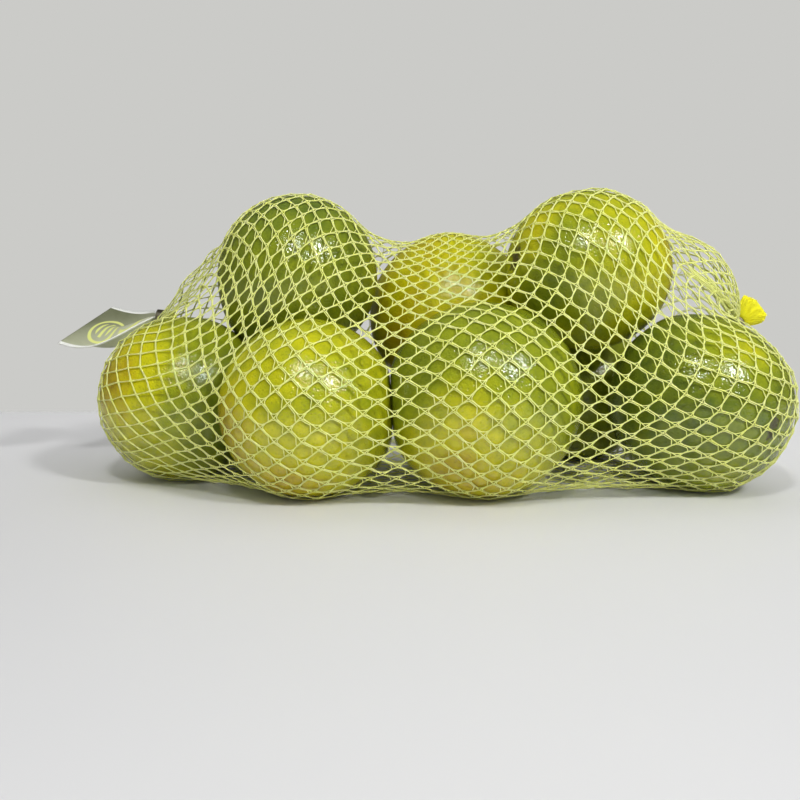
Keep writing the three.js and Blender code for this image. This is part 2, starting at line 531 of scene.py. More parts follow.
@dataclass(frozen=True)
class Finish:
    """A material with one Principled shader; each kind of finish says what feeds it."""

    name: str

    def dress(self, board: Board, shader: bpy.types.Node) -> None:
        """Feeds the shader's sockets.

        Args:
            board: the material's board.
            shader: its Principled shader.
        """
        raise NotImplementedError

    def material(self) -> bpy.types.Material:
        """Builds the finish's material the first time that it is asked for.

        Returns:
            The material.
        """
        if self.name in bpy.data.materials:
            return bpy.data.materials[self.name]
        made = bpy.data.materials.new(self.name)
        made.use_nodes = True
        board = Board(made.node_tree)
        shader = next(node for node in made.node_tree.nodes if node.type == "BSDF_PRINCIPLED")
        self.dress(board, shader)
        return made


def bump(board: Board, shader: bpy.types.Node, height: object, strength: float, depth: float) -> None:
    """Roughens a shader's normal by a height.

    Args:
        board: the material's board.
        shader: the shader whose normal is fed.
        height: the height value.
        strength: how much of the effect shows.
        depth: the depth that a height of one stands for, in millimetres.
    """
    node = board.add("ShaderNodeBump")
    node.inputs["Strength"].default_value = strength
    node.inputs["Distance"].default_value = depth * MM
    board.feed(node.inputs["Height"], height)
    board.feed(shader.inputs["Normal"], node.outputs[0])


@dataclass(frozen=True)
class PeelFinish(Finish):
    """Waxy citrus peel, green to yellow by the ripeness painted on it, which also holds some painted shade
    and light, pitted by fine oil pores.
    """

    name: str = "citrus_peel"
    pore_spacing: float = 1.35
    pore_depth: float = 0.16
    pore_blur: float = 0.35
    pore_edge: tuple[float, float] = (0.05, 0.5)
    pore_tint: float = 0.12
    pore_colour: Colour = linear(52, 70, 14)
    pore_share: float = -0.75
    swell_spacing: float = 0.7
    swell_detail: float = 1.0
    bump_strength: float = 0.9
    patch_spacing: float = 9.0
    patch_contrast: float = 1.6
    patch_swing: float = 0.3
    gloss_spacing: float = 4.0
    gloss_contrast: float = 2.0
    gloss_edge: tuple[float, float] = (0.2, 0.8)
    gloss: tuple[float, float] = (0.09, 0.15)
    refraction: float = 1.66
    blotch_spacing: float = 2.2
    blotch_contrast: float = 3.0
    scar_and_shade_edge: tuple[float, float] = (0.2, 0.45)
    scar_and_shade_cover: float = 0.9
    scar_and_shade_dulling: float = 0.25
    scar_and_shade_colour: Colour = linear(58, 52, 16)
    ripening: tuple[tuple[float, Colour], ...] = (
        (0.0, linear(58, 76, 26)),
        (0.25, linear(94, 112, 31)),
        (0.5, linear(148, 158, 26)),
        (0.75, linear(206, 201, 18)),
        (0.88, linear(195, 175, 22)),
        (1.0, linear(164, 136, 26)),
    )

    def dress(self, board: Board, shader: bpy.types.Node) -> None:
        """Colours by ripeness, with its painted shade and light, and mottling; darkens the pores, the scars
        and the painted shade round a stem; pits the surface.

        Args:
            board: the material's board.
            shader: its Principled shader.
        """
        where = board.here()
        patches = mottle(board, where, self.patch_spacing, self.patch_contrast)
        uneven = board.sum("MULTIPLY_ADD", patches, self.patch_swing, -self.patch_swing / 2)
        colour = board.ramp(board.sum("ADD", board.value_of("ripeness"), uneven), dict(self.ripening))
        pores = board.add("ShaderNodeTexVoronoi", feature="SMOOTH_F1")
        board.feed(pores.inputs["Vector"], where)
        board.feed(pores.inputs["Scale"], per_mm(self.pore_spacing))
        board.feed(pores.inputs["Smoothness"], self.pore_blur)
        pit = board.span(pores.outputs["Distance"], *self.pore_edge, 1.0, 0.0)
        colour = board.blend(board.sum("MULTIPLY", pit, self.pore_tint), colour, self.pore_colour)
        blotch = mottle(board, where, self.blotch_spacing, self.blotch_contrast)
        # the scar mask also carries painted shade: a dark ring round the top right fruit's stem dimple
        marked = board.sum("MULTIPLY", board.value_of("scar"), blotch)
        scar_and_shade_mask = board.span(marked, *self.scar_and_shade_edge, 0.0, self.scar_and_shade_cover)
        board.feed(shader.inputs["Base Color"], board.blend(scar_and_shade_mask, colour, self.scar_and_shade_colour))
        sheen = mottle(board, where, self.gloss_spacing, self.gloss_contrast)
        gloss = board.span(sheen, *self.gloss_edge, *self.gloss)
        board.feed(shader.inputs["Roughness"], board.sum("MULTIPLY_ADD", scar_and_shade_mask, self.scar_and_shade_dulling, gloss))
        swell = board.noise(where, per_mm(self.swell_spacing), self.swell_detail)
        height = board.sum("MULTIPLY_ADD", pit, self.pore_share, swell)
        bump(board, shader, height, self.bump_strength, self.pore_depth)
        shader.inputs["IOR"].default_value = self.refraction


@dataclass(frozen=True)
class StemFinish(Finish):
    """The dry button that is left where the stalk was cut."""

    name: str = "stem_button"
    green: Colour = linear(66, 74, 26)
    brown: Colour = linear(122, 104, 58)
    patch_spacing: float = 1.2
    patch_contrast: float = 2.5
    dullness: tuple[float, float] = (0.6, 0.85)
    bump_strength: float = 0.6
    bump_depth: float = 0.2

    def dress(self, board: Board, shader: bpy.types.Node) -> None:
        """Mixes dry brown and green in small patches over a rough surface.

        Args:
            board: the material's board.
            shader: its Principled shader.
        """
        patches = mottle(board, board.here(), self.patch_spacing, self.patch_contrast)
        board.feed(shader.inputs["Base Color"], board.blend(patches, self.green, self.brown))
        board.feed(shader.inputs["Roughness"], board.span(patches, 0.0, 1.0, *self.dullness))
        bump(board, shader, patches, self.bump_strength, self.bump_depth)


@dataclass(frozen=True)
class NetFinish(Finish):
    """Pale yellow plastic filament, slightly see-through, with faint streaks."""

    name: str = "net_filament"
    pale: Colour = linear(250, 254, 174)
    deep: Colour = linear(243, 250, 128)
    streak_spacing: float = 5.0
    streak_contrast: float = 2.2
    dullness: tuple[float, float] = (0.5, 0.36)
    see_through: float = 0.1
    refraction: float = 1.25
    bleed: float = 0.35
    bleed_depth: float = 0.4
    bleed_tint: Colour = (1.0, 1.0, 0.5)

    def dress(self, board: Board, shader: bpy.types.Node) -> None:
        """Streaks two yellows along the strands and keeps a soft plastic gloss.

        Args:
            board: the material's board.
            shader: its Principled shader.
        """
        streaks = mottle(board, board.here(), self.streak_spacing, self.streak_contrast)
        board.feed(shader.inputs["Base Color"], board.blend(streaks, self.deep, self.pale))
        board.feed(shader.inputs["Roughness"], board.span(streaks, 0.0, 1.0, *self.dullness))
        shader.inputs["Subsurface Weight"].default_value = self.bleed
        shader.inputs["Subsurface Radius"].default_value = self.bleed_tint
        shader.inputs["Subsurface Scale"].default_value = self.bleed_depth * MM
        shader.inputs["Transmission Weight"].default_value = self.see_through
        shader.inputs["IOR"].default_value = self.refraction


@dataclass(frozen=True)
class TailFinish(NetFinish):
    """The same filament where it lies thick, so its yellow is deeper."""

    name: str = "tail_filament"
    pale: Colour = linear(255, 250, 62)
    deep: Colour = linear(252, 243, 30)
    see_through: float = 0.0
    bleed: float = 0.2


@dataclass(frozen=True)
class ClipFinish(Finish):
    """Pressed aluminium band with a drawn grain and dulled patches."""

    name: str = "clip_aluminium"
    dull: Colour = linear(126, 120, 98)
    bright: Colour = linear(164, 158, 136)
    wear_spacing: float = 1.5
    wear_contrast: float = 2.0
    wear_edge: tuple[float, float] = (0.1, 0.9)
    dullness: tuple[float, float] = (0.5, 0.3)
    grain_spacing: float = 0.4
    grain_detail: float = 3.0
    bump_strength: float = 0.3
    bump_depth: float = 0.05

    def dress(self, board: Board, shader: bpy.types.Node) -> None:
        """Varies the metal's tone and gloss and gives it a fine grain.

        Args:
            board: the material's board.
            shader: its Principled shader.
        """
        where = board.here()
        worn = mottle(board, where, self.wear_spacing, self.wear_contrast)
        board.feed(shader.inputs["Base Color"], board.blend(worn, self.dull, self.bright))
        board.feed(shader.inputs["Roughness"], board.span(worn, *self.wear_edge, *self.dullness))
        shader.inputs["Metallic"].default_value = 1.0
        grain = board.noise(where, per_mm(self.grain_spacing), self.grain_detail)
        bump(board, shader, grain, self.bump_strength, self.bump_depth)


@dataclass(frozen=True)
class CardFinish(Finish):
    """Coated card with a dark grey-green printed face, white long edges and pale plain shapes, and a painted
    sheen that lightens the face towards the clip and the near edge.
    """

    name: str = "label_print"
    border: float = 0.05
    border_blur: float = 0.2
    cloud_spacing: float = 14.0
    cloud_contrast: float = 1.4
    cloud_share: float = 0.3
    slant: float = 0.6
    painted_sheen_reach: tuple[float, float] = (0.55, 1.5)
    shade: tuple[float, float] = (0.8, -0.15)
    dullness: tuple[float, float] = (0.3, 0.45)
    grain_spacing: float = 0.6
    grain_detail: float = 3.0
    bump_strength: float = 0.25
    bump_depth: float = 0.05
    face_dark: Colour = linear(108, 112, 84)
    face_light: Colour = linear(200, 203, 174)
    print_pale: Colour = linear(224, 229, 132)
    white: Colour = linear(236, 237, 232)
    print_share: float = 0.9
    oval_middle: tuple[float, float] = (0.78, 0.5)
    oval_half: tuple[float, float] = (0.13, 0.25)
    ring_edge: tuple[float, float] = (0.07, 0.12)
    bar_spacing: float = 0.25
    bar_edge: tuple[float, float] = (0.1, 0.14)
    bar_end: tuple[float, float] = (0.62, 0.68)
    wave_pace: float = 9.0
    wave_swing: float = 0.1
    wave_edge: tuple[float, float] = (0.025, 0.04)
    wave_start: tuple[float, float] = (0.25, 0.35)
    wave_end: tuple[float, float] = (0.57, 0.61)

    def dress(self, board: Board, shader: bpy.types.Node) -> None:
        """Prints the face on the card's UV map, with a painted sheen that lightens it towards the clip and
        the near edge: u runs from the clip to the free end and v across.

        Args:
            board: the material's board.
            shader: its Principled shader.
        """
        chart = board.add("ShaderNodeUVMap", uv_map="spread").outputs[0]
        parts = board.add("ShaderNodeSeparateXYZ")
        board.feed(parts.inputs[0], chart)
        along, across = parts.outputs[0], parts.outputs[1]
        where = board.here()
        cloud = mottle(board, where, self.cloud_spacing, self.cloud_contrast)
        # painted sheen: the face grades lighter towards the clip and the near edge
        slant = board.sum("MULTIPLY_ADD", across, self.slant, along)
        painted_sheen = board.span(slant, *self.painted_sheen_reach, *self.shade)
        shade = board.sum("MULTIPLY_ADD", cloud, self.cloud_share, painted_sheen)
        face = board.ramp(shade, {0.0: self.face_dark, 1.0: self.face_light})
        from_middle = board.sum("ABSOLUTE", board.sum("SUBTRACT", across, 0.5))
        printed = board.sum("MULTIPLY", self.shapes(board, along, across), self.print_share)
        face = board.blend(printed, face, self.print_pale)
        inner = 0.5 - self.border
        rim = board.span(from_middle, inner, inner + self.border_blur * self.border, 0.0, 1.0)
        board.feed(shader.inputs["Base Color"], board.blend(rim, face, self.white))
        board.feed(shader.inputs["Roughness"], board.span(cloud, 0.0, 1.0, *self.dullness))
        grain = board.noise(where, per_mm(self.grain_spacing), self.grain_detail)
        bump(board, shader, grain, self.bump_strength, self.bump_depth)

    def shapes(self, board: Board, along: object, across: object) -> bpy.types.NodeSocket:
        """Draws the plain print: an oval ring, three bars inside it and a wave that runs along the card.

        Args:
            board: the material's board.
            along: the share from the clip to the free end.
            across: the share across the card.

        Returns:
            One where the print is, and nothing elsewhere.
        """
        over, aside = (
            board.sum("DIVIDE", board.sum("SUBTRACT", share, middle), half)
            for share, middle, half in zip((along, across), self.oval_middle, self.oval_half)
        )
        squares = [board.sum("POWER", part, 2.0) for part in (over, aside)]
        far = board.sum("SQRT", board.sum("ADD", *squares))
        ring = board.span(board.sum("ABSOLUTE", board.sum("SUBTRACT", far, 1.0)), *self.ring_edge, 1.0, 0.0)
        to_and_fro = board.sum("PINGPONG", board.sum("ADD", over, 2.0), self.bar_spacing)
        bars = board.span(to_and_fro, *self.bar_edge, 1.0, 0.0)
        bars = board.sum("MULTIPLY", bars, board.span(far, *self.bar_end, 1.0, 0.0))
        swing = board.sum("SINE", board.sum("MULTIPLY", along, self.wave_pace))
        wave = board.sum("SUBTRACT", across, board.sum("MULTIPLY_ADD", swing, self.wave_swing, 0.5))
        wave = board.span(board.sum("ABSOLUTE", wave), *self.wave_edge, 1.0, 0.0)
        wave = board.sum("MULTIPLY", wave, board.span(along, *self.wave_start, 0.0, 1.0))
        wave = board.sum("MULTIPLY", wave, board.span(along, *self.wave_end, 1.0, 0.0))
        return board.sum("MAXIMUM", board.sum("MAXIMUM", ring, bars), wave)


@dataclass(frozen=True)
class Patch:
    """A patch of peel: the way it faces, how far it spreads in radians and how strong it is."""

    facing: Triple
    spread: float
    strength: float

    def weight(self, ways: np.ndarray) -> np.ndarray:
        """Returns strength * e^-(angle from the facing / spread)^2 for each direction."""
        angle = np.arccos(np.clip(ways @ unit(np.array(self.facing, float)), -1, 1))
        return self.strength * np.exp(-((angle / self.spread) ** 2))


@dataclass(frozen=True)
class Press:
    """A flat that holds a fruit in: the way it faces from the fruit's middle and how far off it is."""

    facing: np.ndarray
    reach: float


@dataclass
class Orange:
    """One fruit: a slightly squashed, uneven ball with a stem dimple and a small pit at the other end."""

    name: str
    centre: Triple
    radius: float
    ripeness: float
    stem: Triple
    squash: Triple = (1, 1, 1)
    # patches add to the ripeness; a few of them are painted shade and light, marked in the pile
    patches: tuple[Patch, ...] = ()
    scars: tuple[Patch, ...] = ()
    bulges: tuple[Patch, ...] = ()
    presses: list[Press] = field(default_factory=list)
    around: int = 144
    along: int = 90
    lump_depth: float = 0.007
    lump_waves: int = 6
    lump_pace: tuple[float, float] = (2.0, 5.5)
    dimple: float = 1.9
    dimple_spread: float = 0.17
    ribs: int = 11
    rib_depth: float = 0.3
    rib_middle: float = 1.2
    pit: float = 0.7
    pit_spread: float = 0.09
    press_blend: float = 0.9
    button_radius: float = 2.7
    button_thickness: float = 0.8
    button_lobes: int = 5
    button_lobe_depth: float = 0.18
    button_rim_drop: float = 0.35
    button_rise: float = 0.35
    button_rings: int = 8
    button_spokes: int = 20

    def axes(self) -> np.ndarray:
        """Works out the fruit's own directions.

        Returns:
            Three unit rows, square to each other, the last towards the stem.
        """
        stem = unit(np.array(self.stem, float))
        helper = np.array([0.0, 0.0, 1.0]) if abs(stem[2]) < 0.9 else np.array([1.0, 0.0, 0.0])
        side = unit(np.cross(helper, stem))
        return np.stack([side, np.cross(stem, side), stem])

    def girth(self, ways: np.ndarray) -> np.ndarray:
        """Returns the plain reach each way: the radius, grown by the bulges."""
        grown = sum((patch.weight(ways) for patch in self.bulges), np.zeros(ways.shape[:-1]))
        return self.radius * (1 + grown)

    def lumps(self, ways: np.ndarray) -> np.ndarray:
        """Sums a few slow cosine waves along seeded directions, each from 0 to its own small depth.

        Args:
            ways: unit directions from the fruit's middle.

        Returns:
            How far each direction is sunk, as a share of the radius.
        """
        draw = np.random.default_rng(sum(map(ord, self.name)))
        course = unit(draw.normal(size=(self.lump_waves, 3)))
        pace = draw.uniform(*self.lump_pace, self.lump_waves)
        phase = draw.uniform(0, FULL_TURN, self.lump_waves)
        waves = 0.5 - 0.5 * np.cos(ways @ course.T * pace + phase)
        return self.lump_depth * waves.mean(-1) * 2

    def hold_in(self, offset: np.ndarray) -> np.ndarray:
        """Presses the surface flat where the table or a neighbour touches it.

        Args:
            offset: each point from the fruit's middle.

        Returns:
            The points, none of which reaches past a press.
        """
        for press in self.presses:
            reach = offset @ press.facing
            moved = soft_stop(reach, press.reach, self.press_blend) - reach
            offset = offset + moved[..., None] * press.facing
        return offset

    def shell(self) -> Shell:
        """Works out the fruit on a grid of polar angle and turn about the stem.

        The radius is the fruit's own, less the lumps, a bell-shaped dimple at the stem with radial ribs, and
        a small bell-shaped pit at the far end; the squash is then taken along x, y and z.

        Returns:
            The closed surface with its ripeness, which holds some painted shade and light, and its scars,
            which hold the painted shade round a stem.
        """
        polar = np.linspace(0, np.pi, self.along + 1)[:, None]
        turn = FULL_TURN * np.arange(self.around)[None] / self.around
        local = np.stack(
            [np.sin(polar) * np.cos(turn), np.sin(polar) * np.sin(turn), np.cos(polar) + 0 * turn], -1
        )
        ways = local @ self.axes()
        bell = np.exp(-((polar / self.dimple_spread) ** 2))
        from_ribs = (polar - self.rib_middle * self.dimple_spread) / self.dimple_spread
        rib_band = np.exp(-(from_ribs**2)) * np.sin(polar) ** 0.5
        sunk = self.dimple * bell + self.rib_depth * rib_band * (0.5 - 0.5 * np.cos(self.ribs * turn))
        sunk = sunk + self.pit * np.exp(-(((np.pi - polar) / self.pit_spread) ** 2))
        reach = self.girth(ways) * (1 - self.lumps(ways)) - sunk
        offset = self.hold_in(reach[..., None] * ways * np.array(self.squash))
        ripeness_and_painted_light = self.ripeness + sum((patch.weight(ways) for patch in self.patches), np.zeros(ways.shape[:2]))
        scar = sum((patch.weight(ways) for patch in self.scars), np.zeros(ways.shape[:2]))
        return ball_shell(np.array(self.centre) + offset, {"ripeness": ripeness_and_painted_light, "scar": scar})

    def stem_shell(self) -> Shell:
        """Works out the five-lobed button in the stem dimple.

        It is a flat ball: across, its radius is the button's * sin polar * (1 + depth * cos(lobes * turn));
        along the stem it rises as thickness * cos polar, a little less at its rim, from the bottom of the
        dimple.

        Returns:
            The closed button.
        """
        polar = np.linspace(0, np.pi, self.button_rings + 1)[:, None]
        turn = FULL_TURN * np.arange(self.button_spokes)[None] / self.button_spokes
        lobed = 1 + self.button_lobe_depth * np.cos(self.button_lobes * turn)
        across = self.button_radius * np.sin(polar) * lobed
        seat = self.radius * (1 - self.lump_depth) - self.dimple + self.button_rise
        crown = self.button_thickness * np.cos(polar) * (1 - self.button_rim_drop * np.sin(polar))
        rise = seat + crown + 0 * turn
        local = np.stack([across * np.cos(turn), across * np.sin(turn), rise], -1)
        return ball_shell(np.array(self.centre) + local @ self.axes() * np.array(self.squash), {})


FLAT_SPOT_DEPTH = 1.0
FRUIT_REST = 0.6


def floor_fruit(
    name: str, x: float, y: float, radius: float, ripeness: float, stem: Triple, **more: object
) -> Orange:
    """Returns a fruit that lies on the table, sunk by the depth of its flat spot."""
    return Orange(name, (x, y, radius - FLAT_SPOT_DEPTH), radius, ripeness, stem, **more)


@dataclass
class FruitPile:
    """The nine fruit in the net: six on the table and three on top of them."""

    touch_gap: float = -0.2
    near: float = 0.6
    fruit: list[Orange] = field(
        default_factory=lambda: [
            floor_fruit("orange_left_end", -99.8, -6.8, 35.8, 0.48, (-0.4, 0.85, 0.3), patches=(
                Patch((-0.68, -0.64, 0.36), 0.8, 0.42),
                Patch((0.8, -0.5, -0.1), 0.75, -0.28),
                Patch((-0.1, -0.5, -0.8), 0.6, 0.12),
            ), bulges=(Patch((0.5, -0.2, 0.84), 0.4, 0.05),)),
            floor_fruit("orange_front_left", -41.2, -41.6, 35.85, 0.58, (0.3, 0.75, -0.55), patches=(
                Patch((-0.1, -0.6, -0.8), 0.65, 0.3),
                # partly the peel's own more orange colour, partly painted shade: darker on the left side,
                # where the left end fruit shades it
                Patch((-0.85, -0.5, -0.1), 0.5, 0.34),
                Patch((0.1, -0.5, 0.85), 0.5, 0.06),
            )),
            floor_fruit("orange_front_middle", 27.8, -41.2, 39.2, 0.45, (0.2, 0.9, 0.35), patches=(
                Patch((-0.28, -0.95, -0.08), 0.34, 0.14),
                Patch((-0.35, -0.6, -0.72), 0.75, 0.43),
                # painted shade: greener and darker where this fruit presses against the front left fruit
                Patch((-0.95, -0.3, 0.1), 0.5, -0.2),
                Patch((0.1, -0.5, 0.86), 0.6, -0.06),
                Patch((0.4, -0.6, -0.7), 0.45, 0.14),
            )),
            floor_fruit("orange_right_end", 118.7, -28.7, 36.5, 0.27, (0.5, 0.85, 0.1), patches=(
                Patch((0.15, -0.7, 0.7), 0.5, 0.32),
                Patch((0.9, -0.4, 0.2), 0.5, 0.12),
                # partly a lighter peel, partly painted light: lighter at the bottom, standing in for light
                # thrown up from the table
                Patch((0.0, -0.6, -0.8), 0.5, 0.24),
            ), scars=(
                Patch((0.48, -0.86, -0.11), 0.07, 1.4),
                Patch((0.43, -0.87, -0.24), 0.06, 1.4),
            ), bulges=(
                Patch((-0.6, -0.1, 0.79), 0.45, 0.08),
                Patch((0.6, -0.3, 0.74), 0.4, -0.03),
            )),
            floor_fruit("orange_back_left", -55, 50, 35, 0.3, (0.2, 0.9, -0.35), patches=(
                Patch((0.2, 0.8, 0.5), 0.8, 0.3),
            )),
            floor_fruit("orange_back_right", 83.5, 38, 35, 0.46, (0.45, 0.7, 0.55), patches=(
                Patch((-0.3, 0.9, 0.1), 0.9, 0.35),
            )),
            Orange("orange_top_left", (-50.7, 6, 88.4), 35.75, 0.36, (-0.3, 0.9, 0.3), patches=(
                Patch((0.1, -0.95, 0.1), 0.6, 0.03),
                Patch((0.0, -0.3, 0.95), 0.6, -0.16),
                Patch((0.3, 0.8, 0.5), 0.7, 0.3),
            ), bulges=(Patch((-0.62, -0.2, -0.76), 0.5, 0.08),)),
            Orange("orange_top_middle", (19.4, 33, 70.4), 39.4, 0.8, (0.1, 0.8, 0.6), patches=(
                # partly the peel's own orange-brown, partly painted shade: darker underneath, where the fruit
                # lies in shade
                Patch((-0.5, -0.6, -0.6), 0.6, 0.12),
                Patch((0.55, -0.6, 0.58), 0.5, -0.24),
            )),
            Orange("orange_top_right", (75.5, -9.5, 90.2), 35.3, 0.56, (-0.955, -0.25, 0.15), patches=(
                Patch((0.9, -0.4, 0.1), 0.65, 0.27),
                Patch((-0.74, -0.4, 0.54), 0.36, 0.22),
                Patch((-0.45, -0.8, 0.4), 0.26, -0.15),
                Patch((-0.6, -0.75, -0.3), 0.45, -0.2),
            # painted shade: this scar patch is a dark ring round the stem that stands in for the stem
            # dimple's shade
            ), scars=(Patch((-0.955, -0.25, 0.15), 0.18, 1.3),), squash=(1, 1, 0.96)),
        ]
    )

    def settle(self) -> None:
        """Gives each fruit the flats where the table and its near neighbours hold it in."""
        for one in self.fruit:
            one.presses = [Press(np.array([0.0, 0.0, -1.0]), one.centre[2] - FRUIT_REST)]
            for other in self.fruit:
                between = np.array(other.centre) - np.array(one.centre)
                far = np.linalg.norm(between)
                if other is not one and far - one.radius - other.radius < self.near:
                    reach = (far + one.radius - other.radius - self.touch_gap) / 2
                    one.presses.append(Press(between / far, reach))

    def build(self) -> None:
        """Makes every fruit and, in one piece, their stem buttons."""
        self.settle()
        for one in self.fruit:
            one.shell().piece(one.name, PeelFinish().material(), Slot.PEEL, "filled_net")
        stems = Shell.joined([one.stem_shell() for one in self.fruit])
        stems.piece("stem_buttons", StemFinish().material(), Slot.PEEL, "filled_net")


@dataclass
class KnittedNet:
    """The tubular net: a diamond mesh gathered at both necks and drawn tight over the fruit.

    Knots lie in rows across the tube, each row half a cell round from the one before. A cell has four knots:
    left, plus, right and minus, where plus and minus are its two knots in the row between. Fields with four
    values go by the cell's corners in that order, or by the side that follows each corner.
    """

    pile: FruitPile
    rows: int = 77
    around: int = 44
    strand: float = 6.6
    stand_off: float = 0.45
    lowest: float = 0.35
    steps: int = 1500
    length_rounds: int = 2
    tension: float = 0.2
    weight: float = 0.02
    stiffness: float = 0.9
    slack: float = 0.3
    loose_middle: Triple = (5, 0, 62)
    loose_half: Triple = (165, 110, 85)
    loose_power: float = 0.7
    slack_pockets: tuple[tuple[Triple, float], ...] = (
        ((110, 2, 74), 34),
        ((-92, 18, 77), 16.5),
        ((-85, 16, 93), 10),
    )
    filament: float = 0.205
    sides: int = 4
    seed: int = 11
    corner_cut: tuple[float, ...] = (0.16, 0.2, 0.34, 0.12)
    corner_inset: tuple[float, ...] = (0.45, 0.45, 0.62, 0.36)
    side_inset: tuple[float, ...] = (0.3, 0.1, 0.3, 0.1)
    tight_end: tuple[float, float] = (-112, -66)
    tight_share: float = 0.35
    sway: float = 0.22
    minus_sway: float = 0.4
    wander: float = 0.3
    shake: float = 0.06
    skin_gap: float = 0.08
    side_bends: tuple[float, float] = (0.38, 0.62)
    points_a_strand: int = 3
    fold_start: Triple = (110, -28, 91)
    fold_bow: float = 13.0
    fold_width: float = 11.0
    fold_pull: float = 0.7
    fold_onset: float = 3.0
    fold_half_width: float = 3.8
    fold_neck_half: float = 0.8
    fold_depth: float = 0.8
    fold_facing: Triple = (0.45, -0.8, 0.4)
    fold_filaments: int = 60
    fold_stagger: float = 0.6
    fold_ripple: float = 0.12
    fold_ripple_pace: float = 9.0
    fold_scatter: float = 0.5
    fold_points: int = 15

    def turns(self) -> np.ndarray:
        """Returns each knot's angle round the tube, from the back through the top."""
        row = np.arange(self.rows)[:, None]
        return FULL_TURN * (np.arange(self.around)[None] + 0.5 * (row % 2)) / self.around

    def loose_tube(self) -> np.ndarray:
        """Works out the net before it is drawn in: a blunt spindle whose radius is sin(pi * share) ^ power.

        Returns:
            Knots by row and place round the tube.
        """
        turn = self.turns()
        share = np.linspace(0, 1, self.rows)[:, None] + 0 * turn
        girth = np.sin(np.pi * share) ** self.loose_power
        spindle = np.stack([-np.cos(np.pi * share), girth * np.cos(turn), girth * np.sin(turn)], -1)
        return np.array(self.loose_middle) + np.array(self.loose_half) * spindle

    def push_out(self, places: np.ndarray, stand_off: float) -> np.ndarray:
        """Moves points that are inside a fruit or a slack pocket straight out of it, and up off the table.

        Args:
            places: the points.
            stand_off: how far from a fruit's skin a point stays.

        Returns:
            The moved points.
        """
        flat = places.reshape(-1, 3).copy()
        for one in self.pile.fruit:
            offset = (flat - one.centre) / one.squash
            far = np.maximum(np.linalg.norm(offset, axis=-1, keepdims=True), 1e-9)
            limit = one.girth(offset / far)[:, None] + stand_off
            flat = np.where(far < limit, one.centre + offset * one.squash * limit / far, flat)
        for centre, radius in self.slack_pockets:
            offset = flat - centre
            far = np.maximum(np.linalg.norm(offset, axis=-1, keepdims=True), 1e-9)
            flat = np.where(far < radius, centre + offset * radius / far, flat)
        flat[:, 2] = np.maximum(flat[:, 2], self.lowest)
        return flat.reshape(places.shape)

    def draw_tight(self) -> np.ndarray:
        """Relaxes the loose tube: weight, even tension, strands of one length, and nothing inside a fruit.

        Each step moves every knot towards the mean of its four neighbours, brings the four sets of strands in
        turn to their length by moving both ends equally, and pushes the knots out of the fruit.

        Returns:
            Knots by row and place round the tube.
        """
        knots = self.loose_tube()
        turn = self.turns()
        ends = (
            LEFT_NECK.ring(turn[0], 0, LEFT_NECK.radius - self.filament),
            RIGHT_NECK.ring(turn[-1], 0, RIGHT_NECK.radius - self.filament),
        )
        even, odd = knots[0::2], knots[1::2]

        def even_up(one: np.ndarray, other: np.ndarray) -> tuple[np.ndarray, np.ndarray]:
            """Moves both ends of one set of strands towards their length, more softly where slack.

            Args:
                one: the first ends.
                other: the other ends.

            Returns:
                Both ends, moved.
            """
            between = other - one
            length = np.maximum(np.linalg.norm(between, axis=-1, keepdims=True), 1e-9)
            firm = np.where(length > self.strand, self.stiffness, self.slack)
            move = between * (0.5 * firm * (1 - self.strand / length))
            return one + move, other - move

        for _ in range(self.steps):
            knots[1:-1, :, 2] -= self.weight
            before, after = even[:-1], even[1:]
            mean_odd = (before + np.roll(before, -1, 1) + after + np.roll(after, -1, 1)) / 4
            mean_even = (odd[:-1] + np.roll(odd[:-1], 1, 1) + odd[1:] + np.roll(odd[1:], 1, 1)) / 4
            odd += self.tension * (mean_odd - odd)
            even[1:-1] += self.tension * (mean_even - even[1:-1])
            for _ in range(self.length_rounds):
                even[:-1], odd[:] = even_up(even[:-1], odd)
                even[:-1], turned = even_up(even[:-1], np.roll(odd, 1, 1))
                odd[:] = np.roll(turned, -1, 1)
                odd[:], even[1:] = even_up(odd, even[1:])
                odd[:], turned = even_up(odd, np.roll(even[1:], -1, 1))
                even[1:] = np.roll(turned, 1, 1)
                knots[0], knots[-1] = ends
            knots[:] = self.push_out(knots, self.stand_off)
            knots[0], knots[-1] = ends
        return knots

    def fold_point(self, share: np.ndarray) -> np.ndarray:
        """Works out the fold's line: straight from its start to the tail's neck, bowed out to the front.

        Args:
            share: shares along the line, from its start to the neck.

        Returns:
            The points: start + share * (neck - start), moved forward by bow * 4 * share * (1 - share).
        """
        start, neck = np.array(self.fold_start, float), np.array(RIGHT_NECK.at, float)
        bow = self.fold_bow * 4 * share * (1 - share)
        return start + share[..., None] * (neck - start) + bow[..., None] * np.array([0.0, -1.0, 0.0])

    def fold_in(self, knots: np.ndarray) -> np.ndarray:
        """Bunches the slack net by the tail into a fold, by drawing knots towards the fold's line.

        A knot moves pull * e^-(gap / width)^2 of its gap to the line, growing from none at the line's start.

        Args:
            knots: the knots of the net.

        Returns:
            The moved knots.
        """
        start, end = np.array(self.fold_start, float), np.array(RIGHT_NECK.at, float)
        share = np.clip((knots - start) @ (end - start) / ((end - start) @ (end - start)), 0, 1)
        gap = self.fold_point(share) - knots
        near = np.exp(-(gap**2).sum(-1) / self.fold_width**2)
        return knots + (self.fold_pull * near * np.minimum(1, self.fold_onset * share))[..., None] * gap

